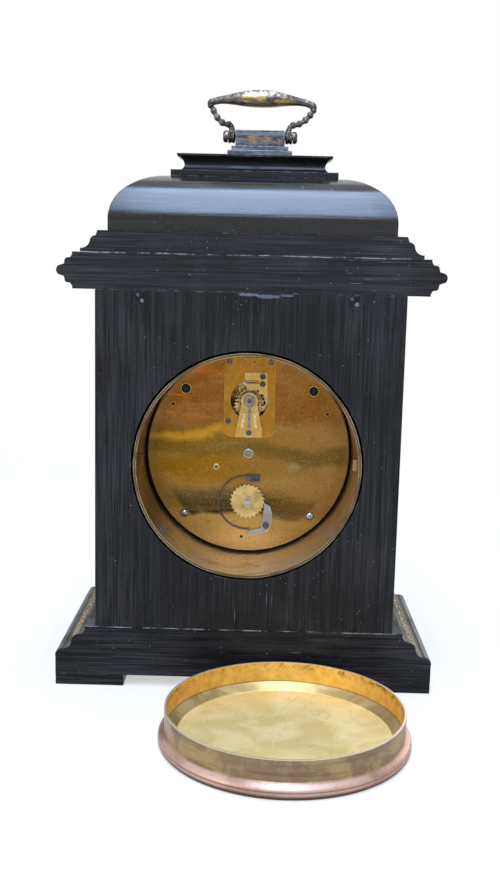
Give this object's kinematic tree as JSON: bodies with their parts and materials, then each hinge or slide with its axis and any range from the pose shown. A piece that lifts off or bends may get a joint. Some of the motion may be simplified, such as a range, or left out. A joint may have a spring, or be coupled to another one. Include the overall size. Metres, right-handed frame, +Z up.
{
  "type": "bracket clock",
  "caption": "Ebonised bracket clock with a moulded case, folding carrying handle, hinged dial bezel, drum movement with platform escapement, and a loose drum cap.",
  "frame": {"origin": "on the table, in the middle of the base's footprint, without the cap", "axes": "+Z up, the dial faces -Y and the drum's open mouth faces +Y, +X to the right of someone who reads the dial"},
  "size_m": [0.1652, 0.1949, 0.2602],
  "materials": {
    "ebonised_wood": "ebonised and polished",
    "brass": "polished, lightly tarnished",
    "gilt_brass": "gilt, fine matt",
    "case_brass": "cast, rubbed and toned",
    "steel": "polished",
    "blued_steel": "heat-blued",
    "balance_brass": "polished",
    "dial_enamel": "enamelled",
    "glass": "clear"
  },
  "bodies": {
    "case": {"back_board": "ebonised_wood", "front_board": "ebonised_wood", "left_side_panel": "ebonised_wood", "right_side_panel": "ebonised_wood", "corner_feet": "ebonised_wood", "base_plinth": "ebonised_wood", "lower_cornice": "ebonised_wood", "upper_cornice": "ebonised_wood", "dome": "ebonised_wood", "crest_moulding": "ebonised_wood", "handle_plinth": "case_brass", "handle_pin": "case_brass", "drum_tube": "brass", "movement_seat": "brass", "cap_stops": "brass", "back_plate": "brass", "front_plate": "brass", "plate_pillars": "brass", "plate_screws": "blued_steel", "click_screw": "blued_steel", "click_spring": "steel", "platform_plate": "gilt_brass", "platform_screws": "blued_steel", "potence": "brass", "escape_bridge": "gilt_brass", "balance_cock": "gilt_brass", "end_ring": "steel", "dial": "dial_enamel", "case_knuckles": "case_brass", "hinge_pin": "case_brass"},
    "handle": {"handle_bail": "case_brass"},
    "door": {"bezel": "case_brass", "glass": "glass"},
    "cap": {"rear_cap": "brass"},
    "going_barrel": {"barrel": "brass", "barrel_cover": "brass", "great_wheel": "brass", "mainspring": "steel"},
    "winding_work": {"winding_arbor": "steel", "ratchet_wheel": "brass"},
    "click_lever": {"click": "steel"},
    "centre": {"centre_arbor": "steel", "centre_wheel": "brass"},
    "third": {"third_arbor": "steel", "third_wheel": "brass"},
    "fourth": {"fourth_arbor": "steel", "fourth_wheel": "brass"},
    "escape": {"escape_arbor": "steel", "escape_wheel": "steel"},
    "lever": {"pallet_lever": "steel"},
    "balance": {"balance_staff": "steel", "balance_wheel": "balance_brass", "hairspring": "blued_steel"},
    "index": {"regulator_index": "steel"},
    "minute_group": {"cannon_pinion": "brass", "minute_hand": "blued_steel"},
    "minute_idler": {"minute_wheel": "brass"},
    "hour_group": {"hour_wheel": "brass", "hour_hand": "blued_steel"}
  },
  "joints": [
    {"name": "handle_fold", "type": "hinge", "parent": "case", "child": "handle", "pos_m": [-0.002, 0.0093, 0.2399], "axis": [1, 0, 0], "range_deg": [-100, 100]},
    {"name": "bezel_hinge", "type": "hinge", "parent": "case", "child": "door", "pos_m": [-0.0581, -0.03185, 0.0992], "axis": [0, 0, -1], "range_deg": [0, 120]},
    {"name": "cap_lift", "type": "slide", "parent": "case", "child": "cap", "axis": [0, 0, 1], "range_m": [0, 0.06]},
    {"name": "escape_turn", "type": "hinge", "parent": "case", "child": "escape", "pos_m": [0, 0, 0.1347], "axis": [0, 1, 0], "continuous": true},
    {"name": "fourth_turn", "type": "hinge", "parent": "case", "child": "fourth", "pos_m": [-0.0095, 0, 0.1192], "axis": [0, 1, 0], "continuous": true},
    {"name": "third_turn", "type": "hinge", "parent": "case", "child": "third", "pos_m": [0.009, 0, 0.1167], "axis": [0, 1, 0], "continuous": true},
    {"name": "centre_turn", "type": "hinge", "parent": "case", "child": "centre", "pos_m": [0, 0, 0.0992], "axis": [0, 1, 0], "continuous": true},
    {"name": "barrel_turn", "type": "hinge", "parent": "case", "child": "going_barrel", "pos_m": [0, 0, 0.0769], "axis": [0, 1, 0], "continuous": true},
    {"name": "winding_turn", "type": "hinge", "parent": "case", "child": "winding_work", "pos_m": [0, 0, 0.0769], "axis": [0, 1, 0], "continuous": true},
    {"name": "click_lift", "type": "hinge", "parent": "case", "child": "click_lever", "pos_m": [-0.00884, 0, 0.0656], "axis": [0, -1, 0], "range_deg": [0, 12], "deforming": ["click_spring"]},
    {"name": "lever_swing", "type": "hinge", "parent": "case", "child": "lever", "pos_m": [0, 0, 0.13], "axis": [0, 1, 0], "range_deg": [-4, 4]},
    {"name": "balance_swing", "type": "hinge", "parent": "case", "child": "balance", "pos_m": [0, 0, 0.1236], "axis": [0, 1, 0], "range_deg": [-120, 120]},
    {"name": "index_shift", "type": "hinge", "parent": "case", "child": "index", "pos_m": [0, 0, 0.1236], "axis": [0, 1, 0], "range_deg": [-20, 20]},
    {"name": "minute_turn", "type": "hinge", "parent": "case", "child": "minute_group", "pos_m": [0, 0, 0.0992], "axis": [0, 1, 0], "continuous": true},
    {"name": "idler_turn", "type": "hinge", "parent": "case", "child": "minute_idler", "pos_m": [0, 0, 0.088], "axis": [0, 1, 0], "continuous": true},
    {"name": "hour_turn", "type": "hinge", "parent": "case", "child": "hour_group", "pos_m": [0, 0, 0.0992], "axis": [0, 1, 0], "continuous": true}
  ],
  "couplings": [
    {"joint": "fourth_turn", "follows": "escape_turn", "ratio": -0.11111},
    {"joint": "third_turn", "follows": "escape_turn", "ratio": 0.014815},
    {"joint": "centre_turn", "follows": "escape_turn", "ratio": -0.0018519},
    {"joint": "barrel_turn", "follows": "escape_turn", "ratio": 0.00023148},
    {"joint": "idler_turn", "follows": "minute_turn", "ratio": -0.33333},
    {"joint": "hour_turn", "follows": "minute_turn", "ratio": 0.083333}
  ]
}
